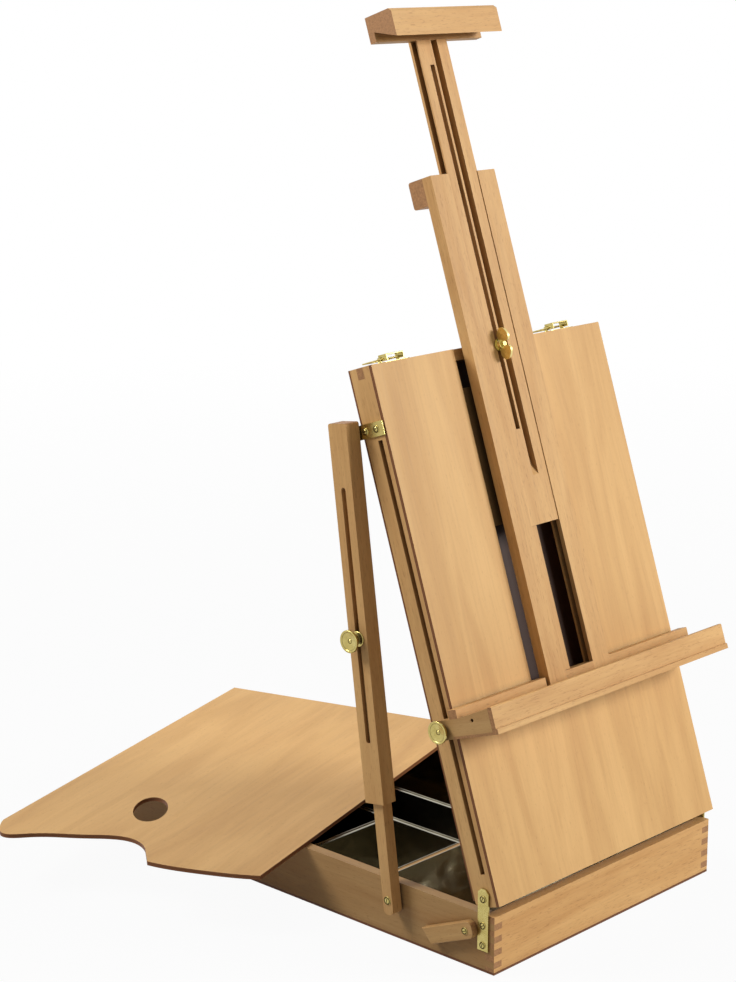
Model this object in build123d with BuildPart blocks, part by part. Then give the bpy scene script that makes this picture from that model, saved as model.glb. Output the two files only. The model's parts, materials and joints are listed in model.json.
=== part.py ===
"""Table box easel: a shallow wooden box whose lid leans back as an easel panel.

Millimetres. X runs along the box's width, +Y from the painter to the back, +Z up.
The origin is the centre of the box's underside.
"""

from build123d import *
from math import atan2, cos, hypot, radians, sin
import os

# Box
box_width = 400.0
box_depth = 610.0
box_height = 68.0
wall = 13.0
bottom_thickness = 3.0
finger_count = 4
finger_top_margin = 5.0
divider_thickness = 6.0
divider_drop = 7.0
front_tray_depth = 161.0
left_bay_width = 133.0
middle_bay_width = 72.0
short_bay_depth = 114.0
liner_thickness = 0.8
liner_rise = 1.0

# Lid, which is also the easel panel
lean = 18.5
lid_length = 605.0
lid_ply = 4.0
lid_back_ply = 2.5
lid_frame_depth = 30.0
lid_rail = 13.0
lid_side_gap = 0.5
lid_bevel = 8.0
lid_finger_count = 3
pivot_height = 18.0
pivot_setback = 15.0
pivot_up_lid = 10.0
slot_half_width = 65.0
slot_bottom = 200.0

# Groove in each lid side for the shelf's clamp bolts
groove_setback = 13.0
groove_width = 6.4
groove_depth = 9.0
groove_low = 37.0
groove_high = 523.0

# Hinge plates and wood screws
plate_width = 15.0
plate_thickness = 2.0
plate_end_margin = 6.5
plate_top_rise = 12.0
plate_corner = 4.5
screw_radius = 2.0
screw_head_radius = 4.2
screw_head_height = 1.6
screw_length = 9.0
screw_slot = 0.9
plate_screw_drops = (31.0, 54.0)

# Mast: a lower channel of two rails and a sliding upper stick
mast_half_width = 55.0
rail_width = 30.0
rail_thickness = 14.0
mast_gap = 4.0
mast_bottom = 205.0
mast_top = 800.0
mast_foot_length = 17.0
heel_length = 32.0
heel_depth = 22.0
left_tongue_width = 12.0
tongue_recess = 3.2
tongue_thickness = 6.6
right_tongue_width = 7.3
right_tongue_recess = 6.0
right_tongue_thickness = 5.0
slide_gap = 0.3
head_gap = 0.2
button_gap = 0.4
stick_recess = 1.0
stick_bottom = 390.0
saw_groove_width = 10.0
saw_groove_offset = 3.3
saw_groove_depth = 10.0
saw_groove_bottom = 446.0
saw_radius = 70.0
stick_slot_width = 7.0
stick_slot_margin = 1.7
stick_slot_bottom = 501.0
stick_slot_top = 926.0
runner_top_margin = 45.0
runner_length = 160.0
runner_half_width = 45.0
runner_flange_half_width = 80.0
runner_flange_thickness = 12.0
guide_width = 14.0
guide_ledge = 10.0

# Head that holds the canvas's top edge
head_half_width = 89.5
head_bottom = 953.0
head_height = 32.0
head_front = 48.0
head_back_height = 15.0
head_strip_thickness = 9.0
head_strip_rise = 2.0
head_front_bevel = 4.0
head_screw_spread = 15.0

# Wing nut and its bolt
wing_bolt_radius = 3.0
wing_bolt_setback = 6.0
wing_bolt_front = 27.0
wing_hub_radius = 5.5
wing_span = 36.0
wing_thickness = 3.0
wing_rise = 15.0
washer_radius = 7.0
washer_thickness = 1.2
running_gap = 0.05

# Shelf
shelf_height = 190.0
shelf_rise = 30.0
shelf_board_thickness = 3.0
shelf_overhang = 11.0
shelf_front = 67.0
shelf_lip = 6.0
shelf_bead_height = 6.0
shelf_bead_proud = 2.0
shelf_back_gap = 3.0
shelf_arm_gap = 1.0
shelf_notch_gap = 3.0
shelf_arm_back = 20.0
shelf_arm_height = 22.0
shelf_arm_top_slope = 1.0
shelf_bar_rise = 2.0
shelf_bar_thickness = 12.0
shelf_clamp_rise = 10.5
shelf_peg_hole = (18.4, 35.7)
shelf_peg_radius = 2.0
shelf_peg_depth = 6.0
knob_radius = 13.0
knob_thickness = 3.4
knob_neck_radius = 5.0
knob_neck_length = 2.6
strut_knob_neck_length = 10.5
knob_flange_radius = 9.0
knob_flange_thickness = 1.6
knob_dish = 2.0
clamp_bolt_radius = 2.5

# Telescopic strut on the left side
strut_strap_drop = 69.0
strut_top_setback = 51.5
strut_foot_y = 142.7
strut_foot_z = 51.3
strut_upper_width = 27.8
strut_upper_thickness = 20.0
strut_lower_width = 14.4
strut_lower_thickness = 14.6
strut_web = 5.0
strut_side_gap = 3.2
strut_top_margin = 16.0
strut_upper_start = 114.0
strut_slot_start = 184.0
strut_slot_margin = 14.0
strut_slot_width = 6.5
strut_solid_head = 40.871
strut_lower_end = 322.0
strut_foot_margin = 17.0
strut_bolt_at = 303.5
strut_shoulder_radius = 5.0
strut_screw_head_radius = 5.0
strap_thickness = 2.0
strap_height = 16.0
strap_front = 2.0
strap_overlap = 9.0
strap_screw_setbacks = (13.0, 30.0)
pin_radius = 2.5
pin_depth = 11.0

# Latches on the lid's free end
latch_inset = 54.5
latch_plate_length = 50.0
latch_plate_width = 16.0
latch_plate_thickness = 1.2
latch_setback = 20.0
latch_hinge_setback = 24.5
latch_hinge_height = 5.0
latch_pin_radius = 0.8
latch_lever_length = 11.0
latch_lever_tail = 1.6
latch_lever_width = 28.0
latch_lever_rise = 5.0
latch_lever_sheet = 1.2
latch_cheek_drop = 2.0
latch_ear_half = 2.2
latch_ear_thickness = 1.2
rivet_radius = 2.2
rivet_height = 0.8
rivet_margin = 5.0
bail_pin_offset = 4.5
bail_reach = 13.0
keeper_width = 38.0
keeper_height = 13.0
keeper_drop = 10.0
keeper_depth = 7.5
keeper_sheet = 1.2
keeper_lip = 4.5

# Turn button on the left wall
button_y = 34.2
button_z = 45.8
button_reach = 65.0
button_end_skew = 7.0
button_tail = 10.8
button_corner = 8.0
button_width = 20.0
button_thickness = 9.5
button_slant = 23.0
button_screw_length = 16.0

# Palette, lying loose across the box's rim
palette_length = 575.0
palette_width = 360.0
palette_thickness = 5.0
palette_turn = 17.0
palette_corner = (-306.0, -45.5)
palette_gap = 0.2
palette_notch = ((-18.0, 137.0), (12.0, 158.0), (33.0, 197.0), (16.0, 250.0), (-8.0, 306.0))
palette_front_bulge = (-12.0, 60.0)
palette_corner_cuts = (3.0, 14.0)
thumb_hole = (40.0, 21.0)
thumb_hole_at = (122.0, 219.0)
thumb_hole_turn = 25.0

os.makedirs("parts", exist_ok=True)

half_width = box_width / 2
half_depth = box_depth / 2
lid_half = half_width - lid_side_gap
lid_total = lid_ply + lid_frame_depth + lid_back_ply
latch_x = lid_half - latch_inset
pivot_z = box_height + pivot_height
pivot_y = pivot_setback - half_depth
pivot_back = lid_total - pivot_height + 0.5

lean_rad = radians(lean)
up = Vector(0, sin(lean_rad), cos(lean_rad))
forward = Vector(0, -cos(lean_rad), sin(lean_rad))
lid_origin = Vector(0, pivot_y, pivot_z) - up * pivot_up_lid + forward * pivot_back

# On the lid, sketches use (across, up the lid) and extrude towards the painter.
lid_face = Plane(origin=lid_origin, x_dir=(1, 0, 0), z_dir=forward)
# Side profiles use (up the lid, towards the painter) and extrude along +X.
lid_side = Plane(origin=lid_origin, x_dir=up, z_dir=(1, 0, 0))

strut_foot = Vector(-half_width, strut_foot_y - half_depth, strut_foot_z)
strut_top_up_lid = lid_length - strut_strap_drop
strut_head = lid_origin + up * strut_top_up_lid - forward * strut_top_setback
strut_length = hypot(strut_head.Y - strut_foot.Y, strut_head.Z - strut_foot.Z)
strut_lean = atan2(strut_head.Y - strut_foot.Y, strut_head.Z - strut_foot.Z)
strut_plane = Plane(
    origin=(-half_width, strut_foot.Y, strut_foot.Z),
    x_dir=(0, sin(strut_lean), cos(strut_lean)),
    z_dir=(-1, 0, 0),
)


def slab(plane, across, along, deep, mode=Mode.ADD):
    """A block between two limits on each axis of a plane, added to the open part."""
    with BuildSketch(plane.offset(deep[0])) as outline:
        with Locations(((across[0] + across[1]) / 2, (along[0] + along[1]) / 2)):
            Rectangle(across[1] - across[0], along[1] - along[0])
    extrude(outline.sketch, amount=deep[1] - deep[0], mode=mode)


def prism(plane, points, deep, mode=Mode.ADD):
    """A straight-sided outline extruded between two depths of a plane."""
    with BuildSketch(plane.offset(deep[0])) as outline:
        with BuildLine():
            Polyline(*points, close=True)
        make_face()
    extrude(outline.sketch, amount=deep[1] - deep[0], mode=mode)


def rod(plane, at, radius, deep, mode=Mode.ADD):
    """A round bar or bore standing square to a plane."""
    with BuildSketch(plane.offset(deep[0])) as outline:
        with Locations(at):
            Circle(radius)
    extrude(outline.sketch, amount=deep[1] - deep[0], mode=mode)


def screw(plane, at, slot_turn, length=screw_length):
    """A slotted round-head wood screw whose head sits on the plane."""
    rod(plane, at, screw_radius, (-length, 0))
    with BuildSketch(plane) as seat:
        with Locations(at):
            Circle(screw_head_radius)
    extrude(seat.sketch, amount=screw_head_height, taper=20)
    with BuildSketch(plane.offset(screw_head_height - 0.6)) as cut:
        with Locations(Location((at[0], at[1], 0), (0, 0, slot_turn))):
            Rectangle(4 * screw_head_radius, screw_slot)
    extrude(cut.sketch, amount=1, mode=Mode.SUBTRACT)


def outward(side, height):
    """A plane facing away from the left (-1) or right (1) side: (side * y, z) on it."""
    return Plane(origin=(side * height, 0, 0), x_dir=(0, side, 0), z_dir=(side, 0, 0))


def save(piece, name):
    """Labels a finished piece and writes its STEP file."""
    piece.part.label = name
    export_step(piece.part, f"parts/{name}.step")


# Box walls with finger joints. The side walls' fingers show on the front and back faces.
finger_pitch = (box_height - bottom_thickness - finger_top_margin) / finger_count
finger_height = finger_pitch / 2
finger_lows = [bottom_thickness + (i + 0.3) * finger_pitch for i in range(finger_count)]
plate_seat = half_width + plate_thickness
plate_screw_heights = [pivot_z - drop for drop in plate_screw_drops]
button_pivot = (button_y - half_depth, button_z)
button_seat = half_width + button_gap + button_thickness + head_gap

with BuildPart() as box_bottom:
    slab(Plane.XY, (-half_width, half_width), (-half_depth, half_depth), (0, bottom_thickness))
save(box_bottom, "box_bottom")

for side, name in ((-1, "box_front_wall"), (1, "box_back_wall")):
    near, far = sorted((side * half_depth, side * (half_depth - wall)))
    with BuildPart() as end_wall:
        slab(Plane.XY, (-half_width, half_width), (near, far), (bottom_thickness, box_height))
        for low in finger_lows:
            for edge in (-1, 1):
                a, b = sorted((edge * half_width, edge * (half_width - wall)))
                slab(Plane.XY, (a, b), (near, far), (low, low + finger_height), Mode.SUBTRACT)
    save(end_wall, name)

for side, name in ((-1, "box_left_wall"), (1, "box_right_wall")):
    near, far = sorted((side * half_width, side * (half_width - wall)))
    with BuildPart() as side_wall:
        reach = half_depth - wall
        slab(Plane.XY, (near, far), (-reach, reach), (bottom_thickness, box_height))
        for low in finger_lows:
            slab(Plane.XY, (near, far), (-half_depth, half_depth), (low, low + finger_height))
        for height in plate_screw_heights:
            at = (side * pivot_y, height)
            rod(outward(side, plate_seat), at, screw_radius, (-screw_length, 0), Mode.SUBTRACT)
        if side < 0:
            at = (-button_pivot[0], button_pivot[1])
            span = (-button_screw_length, 0)
            rod(outward(side, button_seat), at, screw_radius, span, Mode.SUBTRACT)
    save(side_wall, name)

# Dividers and the tin liners of the compartments
inner_x = half_width - wall
inner_y = half_depth - wall
divider_top = box_height - divider_drop
front_divider_y = front_tray_depth - inner_y

with BuildPart() as front_divider:
    slab(
        Plane.XY,
        (-inner_x, inner_x),
        (front_divider_y, front_divider_y + divider_thickness),
        (bottom_thickness, divider_top),
    )
save(front_divider, "front_divider")

rear_start = front_divider_y + divider_thickness
left_divider_x = -inner_x + left_bay_width
right_divider_x = left_divider_x + divider_thickness + middle_bay_width
short_divider_y = rear_start + short_bay_depth

for low, name in ((left_divider_x, "left_divider"), (right_divider_x, "right_divider")):
    with BuildPart() as long_divider:
        slab(
            Plane.XY,
            (low, low + divider_thickness),
            (rear_start, inner_y),
            (bottom_thickness, divider_top),
        )
    save(long_divider, name)

with BuildPart() as short_divider:
    slab(
        Plane.XY,
        (-inner_x, left_divider_x),
        (short_divider_y, short_divider_y + divider_thickness),
        (bottom_thickness, divider_top),
    )
save(short_divider, "short_divider")

left_bay = (-inner_x, left_divider_x)
middle_bay = (left_divider_x + divider_thickness, right_divider_x)
right_bay = (right_divider_x + divider_thickness, inner_x)
liners = {
    "tray_liner_front": ((-inner_x, inner_x), (-inner_y, front_divider_y)),
    "tray_liner_left_front": (left_bay, (rear_start, short_divider_y)),
    "tray_liner_left_rear": (left_bay, (short_divider_y + divider_thickness, inner_y)),
    "tray_liner_middle": (middle_bay, (rear_start, inner_y)),
    "tray_liner_right": (right_bay, (rear_start, inner_y)),
}
for name, (span_x, span_y) in liners.items():
    liner_top = divider_top + liner_rise
    with BuildPart() as liner:
        slab(Plane.XY, span_x, span_y, (bottom_thickness, liner_top))
        slab(
            Plane.XY,
            (span_x[0] + liner_thickness, span_x[1] - liner_thickness),
            (span_y[0] + liner_thickness, span_y[1] - liner_thickness),
            (bottom_thickness + liner_thickness, liner_top),
            Mode.SUBTRACT,
        )
    save(liner, name)

# Hinge plates: screwed to the box walls, with the lid's pivot screw through the clipped top
plate_low = pivot_z - plate_screw_drops[-1] - plate_end_margin
plate_top = pivot_z + plate_top_rise
with BuildPart() as hinge_plates:
    for side in (-1, 1):
        seat = outward(side, half_width)
        middle = side * pivot_y
        half = plate_width / 2
        outline = (
            (middle - half, plate_low),
            (middle - half, plate_top - plate_corner),
            (middle - half + plate_corner, plate_top),
            (middle + half - plate_corner, plate_top),
            (middle + half, plate_top - plate_corner),
            (middle + half, plate_low),
        )
        prism(seat, outline, (0, plate_thickness))
        hole = screw_radius + running_gap
        rod(seat, (middle, pivot_z), hole, (0, plate_thickness), Mode.SUBTRACT)
        for height in plate_screw_heights:
            rod(seat, (middle, height), screw_radius, (0, plate_thickness), Mode.SUBTRACT)
save(hinge_plates, "hinge_plates")

with BuildPart() as box_screws:
    for side in (-1, 1):
        for height in plate_screw_heights:
            screw(outward(side, plate_seat), (side * pivot_y, height), 35)
    at = (-button_pivot[0], button_pivot[1])
    screw(outward(-1, button_seat), at, 25, button_screw_length)
save(box_screws, "box_screws")

# Lid frame. Depths below are negative, because they lie behind the plywood face.
frame_front = -lid_ply
frame_back = frame_front - lid_frame_depth
rail_inner = lid_half - lid_rail
bevel_points = (
    (-1, -lid_total - 1),
    (-1, -lid_total + lid_bevel + 0.5),
    (lid_bevel + 1.5, -lid_total - 2),
)
lid_finger = lid_frame_depth / lid_finger_count
lid_fingers = [
    (frame_front - (i + 1) * lid_finger, frame_front - i * lid_finger)
    for i in range(1, lid_finger_count, 2)
]
pivot_seat = plate_seat + head_gap
strap_seat = lid_half + strap_thickness
strap_screw_ups = [up * strut_top_up_lid - forward * setback for setback in strap_screw_setbacks]
strap_screw_points = [lid_origin + step for step in strap_screw_ups]

for side, name in ((-1, "lid_left_rail"), (1, "lid_right_rail")):
    near, far = sorted((side * lid_half, side * rail_inner))
    groove_a, groove_b = sorted((side * lid_half, side * (lid_half - groove_depth)))
    with BuildPart() as lid_rail_side:
        slab(lid_face, (near, far), (0, lid_length), (frame_back, frame_front))
        for end in ((0, lid_rail), (lid_length - lid_rail, lid_length)):
            for finger in lid_fingers:
                slab(lid_face, (near, far), end, finger, Mode.SUBTRACT)
        slab(
            lid_face,
            (groove_a, groove_b),
            (groove_low, groove_high),
            (-groove_setback - groove_width / 2, -groove_setback + groove_width / 2),
            Mode.SUBTRACT,
        )
        prism(lid_side, bevel_points, (-half_width, half_width), Mode.SUBTRACT)
        at = (side * pivot_y, pivot_z)
        rod(outward(side, pivot_seat), at, screw_radius, (-screw_length, 0), Mode.SUBTRACT)
        if side < 0:
            for point in strap_screw_points:
                at = (-point.Y, point.Z)
                span = (-screw_length, 0)
                rod(outward(side, strap_seat), at, screw_radius, span, Mode.SUBTRACT)
    save(lid_rail_side, name)

channel_left = -mast_half_width + rail_width + left_tongue_width
slot_left = channel_left + stick_slot_margin
slot_right = slot_left + stick_slot_width
bolt_x = (slot_left + slot_right) / 2
bolt_at = (bolt_x, lid_length - wing_bolt_setback)

for end, name in (
    ((0, lid_rail), "lid_bottom_rail"),
    ((lid_length - lid_rail, lid_length), "lid_top_rail"),
):
    with BuildPart() as lid_rail_end:
        slab(lid_face, (-rail_inner, rail_inner), end, (frame_back, frame_front))
        for finger in lid_fingers:
            slab(lid_face, (-lid_half, lid_half), end, finger)
        if name == "lid_bottom_rail":
            prism(lid_side, bevel_points, (-half_width, half_width), Mode.SUBTRACT)
            for side in (-1, 1):
                at = (side * pivot_y, pivot_z)
                span = (-screw_length, 0)
                rod(outward(side, pivot_seat), at, screw_radius, span, Mode.SUBTRACT)
        else:
            rod(lid_face, bolt_at, wing_bolt_radius, (frame_back, frame_front), Mode.SUBTRACT)
    save(lid_rail_end, name)

with BuildPart() as lid_plywood:
    slab(lid_face, (-lid_half, lid_half), (0, lid_length), (frame_front, 0))
    slab(
        lid_face,
        (-slot_half_width, slot_half_width),
        (slot_bottom, lid_length),
        (frame_front, 0),
        Mode.SUBTRACT,
    )
save(lid_plywood, "lid_plywood")

with BuildPart() as lid_back_panel:
    slab(lid_face, (-lid_half, lid_half), (lid_bevel, lid_length), (-lid_total, frame_back))
    rod(lid_face, bolt_at, wing_bolt_radius, (-lid_total, frame_back), Mode.SUBTRACT)
save(lid_back_panel, "lid_back_panel")

with BuildPart() as lid_screws:
    for side in (-1, 1):
        screw(outward(side, pivot_seat), (side * pivot_y, pivot_z), 70)
    for point in strap_screw_points:
        screw(outward(-1, strap_seat), (-point.Y, point.Z), 50)
save(lid_screws, "lid_screws")

# Guides inside the lid that carry the mast's runner
flange_front = frame_front - 0.4
flange_back = flange_front - runner_flange_thickness
guide_inner = runner_flange_half_width + slide_gap
with BuildPart() as mast_guides:
    for side in (-1, 1):
        a, b = sorted((side * guide_inner, side * (guide_inner + guide_width)))
        c, d = sorted((side * (guide_inner - guide_ledge), side * (guide_inner + guide_width)))
        span = (lid_rail, lid_length - lid_rail)
        slab(lid_face, (a, b), span, (frame_back, frame_front))
        slab(lid_face, (c, d), span, (frame_back, flange_back - slide_gap))
save(mast_guides, "mast_guides")

# Lower mast: two rails, a heel and a foot block that tie them, and the runner behind
rail_front = mast_gap + rail_thickness
rail_inner_x = mast_half_width - rail_width
tongue_front = rail_front - tongue_recess
tongue_back = tongue_front - tongue_thickness

with BuildPart() as mast_left_rail:
    slab(
        lid_face, (-mast_half_width, -rail_inner_x), (mast_bottom, mast_top), (mast_gap, rail_front)
    )
    slab(
        lid_face,
        (-rail_inner_x, channel_left),
        (mast_bottom + mast_foot_length, mast_top),
        (tongue_back, tongue_front),
    )
save(mast_left_rail, "mast_left_rail")

right_groove_front = rail_front - right_tongue_recess + slide_gap
right_groove_back = rail_front - right_tongue_recess - right_tongue_thickness - slide_gap
with BuildPart() as mast_right_rail:
    slab(
        lid_face, (rail_inner_x, mast_half_width), (mast_bottom, mast_top), (mast_gap, rail_front)
    )
    slab(
        lid_face,
        (rail_inner_x, rail_inner_x + right_tongue_width + slide_gap),
        (mast_bottom, mast_top),
        (right_groove_back, right_groove_front),
        Mode.SUBTRACT,
    )
save(mast_right_rail, "mast_right_rail")

with BuildPart() as mast_foot_block:
    slab(
        lid_face,
        (-rail_inner_x, rail_inner_x),
        (mast_bottom, mast_bottom + mast_foot_length),
        (mast_gap, rail_front),
    )
save(mast_foot_block, "mast_foot_block")

with BuildPart() as mast_heel:
    slab(
        lid_face,
        (-mast_half_width, mast_half_width),
        (mast_top - heel_length, mast_top),
        (mast_gap - heel_depth, mast_gap),
    )
    rounded = mast_heel.edges().filter_by(Axis.X).sort_by(Axis.Y)[-2:]
    fillet(rounded, 3)
save(mast_heel, "mast_heel")

with BuildPart() as mast_runner:
    runner_top = lid_length - runner_top_margin
    span = (runner_top - runner_length, runner_top)
    slab(lid_face, (-runner_half_width, runner_half_width), span, (flange_front, mast_gap))
    slab(
        lid_face,
        (-runner_flange_half_width, runner_flange_half_width),
        span,
        (flange_back, flange_front),
    )
save(mast_runner, "mast_runner")

# Upper mast: two glued strips with blocks between them, which leave a slot for the bolt
stick_front = rail_front - stick_recess
stick_back = mast_gap + slide_gap
stick_left = -rail_inner_x + slide_gap
stick_right = rail_inner_x - slide_gap
head_top = head_bottom + head_height
head_strip_bottom = head_bottom + head_strip_rise
groove_floor = stick_front - saw_groove_depth
groove_left = slot_right + saw_groove_offset
groove_right = groove_left + saw_groove_width
head_back = groove_floor

behind = Plane(origin=lid_origin + forward * stick_back, x_dir=(-1, 0, 0), z_dir=-forward)
head_screw_spots = [
    (spread * head_screw_spread, head_top - head_back_height / 2) for spread in (-1, 1)
]
head_seat = ((stick_left, stick_right), (head_strip_bottom, head_top), (head_back, stick_front))

with BuildPart() as left_strip:
    slab(lid_face, (stick_left, slot_left), (stick_bottom, head_top), (stick_back, stick_front))
    slab(
        lid_face,
        (stick_left, channel_left + slide_gap),
        (stick_bottom, head_strip_bottom),
        (tongue_back - slide_gap, tongue_front + slide_gap),
        Mode.SUBTRACT,
    )
    slab(lid_face, *head_seat, Mode.SUBTRACT)
    for spot in head_screw_spots:
        rod(behind, spot, screw_radius, (-screw_length, 0), Mode.SUBTRACT)
save(left_strip, "upper_mast_left_strip")

with BuildPart() as right_strip:
    slab(lid_face, (slot_right, stick_right), (stick_bottom, head_top), (stick_back, stick_front))
    slab(
        lid_face,
        (stick_right, stick_right + right_tongue_width - slide_gap),
        (stick_bottom, head_strip_bottom),
        (
            rail_front - right_tongue_recess - right_tongue_thickness,
            rail_front - right_tongue_recess,
        ),
    )
    slab(lid_face, *head_seat, Mode.SUBTRACT)
    with BuildSketch(lid_side.offset(groove_left)) as saw_cut:
        with BuildLine():
            run = (saw_radius**2 - (saw_radius - saw_groove_depth) ** 2) ** 0.5
            start = (saw_groove_bottom, stick_front)
            tangent = (saw_groove_bottom + run, groove_floor)
            half_turn = atan2(run, saw_radius - saw_groove_depth) / 2
            middle = (
                saw_groove_bottom + run - saw_radius * sin(half_turn),
                groove_floor + saw_radius * (1 - cos(half_turn)),
            )
            ThreePointArc(start, middle, tangent)
            Line(tangent, (head_strip_bottom, groove_floor))
            Line((head_strip_bottom, groove_floor), (head_strip_bottom, stick_front))
            Line((head_strip_bottom, stick_front), start)
        make_face()
    extrude(saw_cut.sketch, amount=groove_right - groove_left, mode=Mode.SUBTRACT)
    for spot in head_screw_spots:
        rod(behind, spot, screw_radius, (-screw_length, 0), Mode.SUBTRACT)
save(right_strip, "upper_mast_right_strip")

with BuildPart() as strip_blocks:
    across = (slot_left, slot_right)
    slab(lid_face, across, (stick_bottom, stick_slot_bottom), (stick_back, stick_front))
    slab(lid_face, across, (stick_slot_top, head_top), (stick_back, stick_front))
    slab(lid_face, *head_seat, Mode.SUBTRACT)
save(strip_blocks, "upper_mast_blocks")

# Head block with a bevelled underside, and the strip below its back edge
strip_front = head_back + head_strip_thickness
underside_slope = (head_height - head_back_height) / (head_front - head_back)
strip_top = head_bottom + (head_front - strip_front) * underside_slope
head_back_bottom = head_top - head_back_height

with BuildPart() as head_block:
    prism(
        lid_side,
        (
            (head_bottom, head_front),
            (head_top - head_front_bevel, head_front),
            (head_top, head_front - head_front_bevel),
            (head_top, head_back),
            (head_back_bottom, head_back),
        ),
        (-head_half_width, head_half_width),
    )
    for spot in head_screw_spots:
        rod(behind, spot, screw_radius, (-screw_length, 0), Mode.SUBTRACT)
save(head_block, "head_block")

with BuildPart() as head_strip:
    prism(
        lid_side,
        (
            (head_strip_bottom, strip_front),
            (strip_top, strip_front),
            (head_back_bottom, head_back),
            (head_strip_bottom, head_back),
        ),
        (-head_half_width, head_half_width),
    )
save(head_strip, "head_strip")

with BuildPart() as head_screws:
    for spot in head_screw_spots:
        screw(behind, spot, 20)
save(head_screws, "head_screws")

# Wing nut, washer and the bolt that clamps both masts to the lid's top rail
with BuildPart() as wing_bolt:
    rod(lid_face, bolt_at, wing_bolt_radius, (-lid_total, wing_bolt_front))
    rod(lid_face, bolt_at, 2.2 * wing_bolt_radius, (-lid_total - 2, -lid_total))
save(wing_bolt, "wing_bolt")

washer_low = stick_front + slide_gap
washer_top = washer_low + washer_thickness
with BuildPart() as wing_washer:
    rod(lid_face, bolt_at, washer_radius, (washer_low, washer_top))
    hole = wing_bolt_radius + running_gap
    rod(lid_face, bolt_at, hole, (washer_low, washer_top), Mode.SUBTRACT)
save(wing_washer, "wing_washer")

wing_base = washer_top + head_gap
wing_low = wing_base + 0.6
with BuildPart() as wing_nut:
    with BuildSketch(lid_face.offset(wing_base)) as hub:
        with Locations(bolt_at):
            Circle(wing_hub_radius)
    extrude(hub.sketch, amount=5, taper=3)
    wing_plane = lid_side.offset(bolt_x - wing_thickness / 2)
    for end in (-1, 1):
        inner = bolt_at[1]
        tip = bolt_at[1] + end * wing_span / 2
        shoulder = bolt_at[1] + end * wing_span * 0.32
        with BuildSketch(wing_plane) as wing:
            with BuildLine():
                Line((inner, wing_low), (shoulder, wing_low))
                Spline(
                    (shoulder, wing_low),
                    (tip, wing_low + wing_rise * 0.6),
                    (shoulder, wing_low + wing_rise),
                    (inner, wing_low + 4),
                )
                Line((inner, wing_low + 4), (inner, wing_low))
            make_face()
        extrude(wing.sketch, amount=wing_thickness)
    hole = wing_bolt_radius + running_gap
    rod(lid_face, bolt_at, hole, (wing_base - 1, wing_low + 20), Mode.SUBTRACT)
save(wing_nut, "wing_nut")

# Shelf: a board and lip across the front, arms round the lid's sides
shelf_top = shelf_height + shelf_rise
board_top = shelf_height + shelf_board_thickness
arm_inner = half_width + shelf_arm_gap
arm_outer = half_width + shelf_overhang
notch_half = mast_half_width + shelf_notch_gap
notch_front = rail_front + shelf_notch_gap

with BuildPart() as shelf_board:
    slab(
        lid_face,
        (-arm_outer, arm_outer),
        (shelf_height, board_top),
        (shelf_back_gap, shelf_front),
    )
    slab(
        lid_face,
        (-notch_half, notch_half),
        (shelf_height, board_top),
        (shelf_back_gap, notch_front),
        Mode.SUBTRACT,
    )
save(shelf_board, "shelf_board")

with BuildPart() as shelf_front_lip:
    slab(
        lid_face,
        (-arm_outer, arm_outer),
        (board_top, shelf_top),
        (shelf_front - shelf_lip, shelf_front),
    )
    lip_edges = shelf_front_lip.edges().filter_by(Axis.X).sort_by(Axis.Z)[-2:]
    fillet(lip_edges, 1.5)
    slab(
        lid_face,
        (-arm_outer, arm_outer),
        (shelf_height, shelf_height + shelf_bead_height),
        (shelf_front, shelf_front + shelf_bead_proud),
    )
save(shelf_front_lip, "shelf_front_lip")

arm_top = shelf_height + shelf_arm_height
bar_top = shelf_top + shelf_bar_rise
bar_front = shelf_back_gap + shelf_bar_thickness
with BuildPart() as shelf_back_bars:
    for side in (-1, 1):
        a, b = sorted((side * notch_half, side * arm_inner))
        slab(lid_face, (a, b), (board_top, bar_top), (shelf_back_gap, bar_front))
        a, b = sorted((side * arm_inner, side * arm_outer))
        slab(lid_face, (a, b), (arm_top, bar_top), (shelf_back_gap, bar_front))
save(shelf_back_bars, "shelf_back_bars")

clamp_at = (shelf_height + shelf_clamp_rise, -groove_setback)
peg_at = (shelf_height + shelf_peg_hole[0], shelf_peg_hole[1])
for side, name in ((-1, "shelf_left_arm"), (1, "shelf_right_arm")):
    deep = tuple(sorted((side * arm_inner, side * arm_outer)))
    peg_deep = tuple(sorted((side * (arm_outer - shelf_peg_depth), side * arm_outer)))
    with BuildPart() as shelf_arm:
        prism(
            lid_side,
            (
                (shelf_height, -shelf_arm_back),
                (arm_top, -shelf_arm_back),
                (arm_top, bar_front),
                (shelf_top - shelf_arm_top_slope, shelf_front - shelf_lip),
                (board_top, shelf_front - shelf_lip),
                (board_top, shelf_back_gap),
                (shelf_height, shelf_back_gap),
            ),
            deep,
        )
        back_edges = shelf_arm.edges().filter_by(Axis.X).sort_by(Axis.Y)[-2:]
        fillet(back_edges, 8)
        rod(lid_side, clamp_at, clamp_bolt_radius, deep, Mode.SUBTRACT)
        rod(lid_side, peg_at, shelf_peg_radius, peg_deep, Mode.SUBTRACT)
    save(shelf_arm, name)

clamp_reach = half_width - lid_side_gap - groove_depth + 1
knob_foot = half_width + shelf_overhang + slide_gap
knob_depth = knob_flange_thickness + knob_neck_length
with BuildPart() as shelf_bolts:
    for side in (-1, 1):
        span = tuple(sorted((side * clamp_reach, side * (knob_foot + knob_depth))))
        rod(lid_side, clamp_at, clamp_bolt_radius, span)
save(shelf_bolts, "shelf_clamp_bolts")


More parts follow.
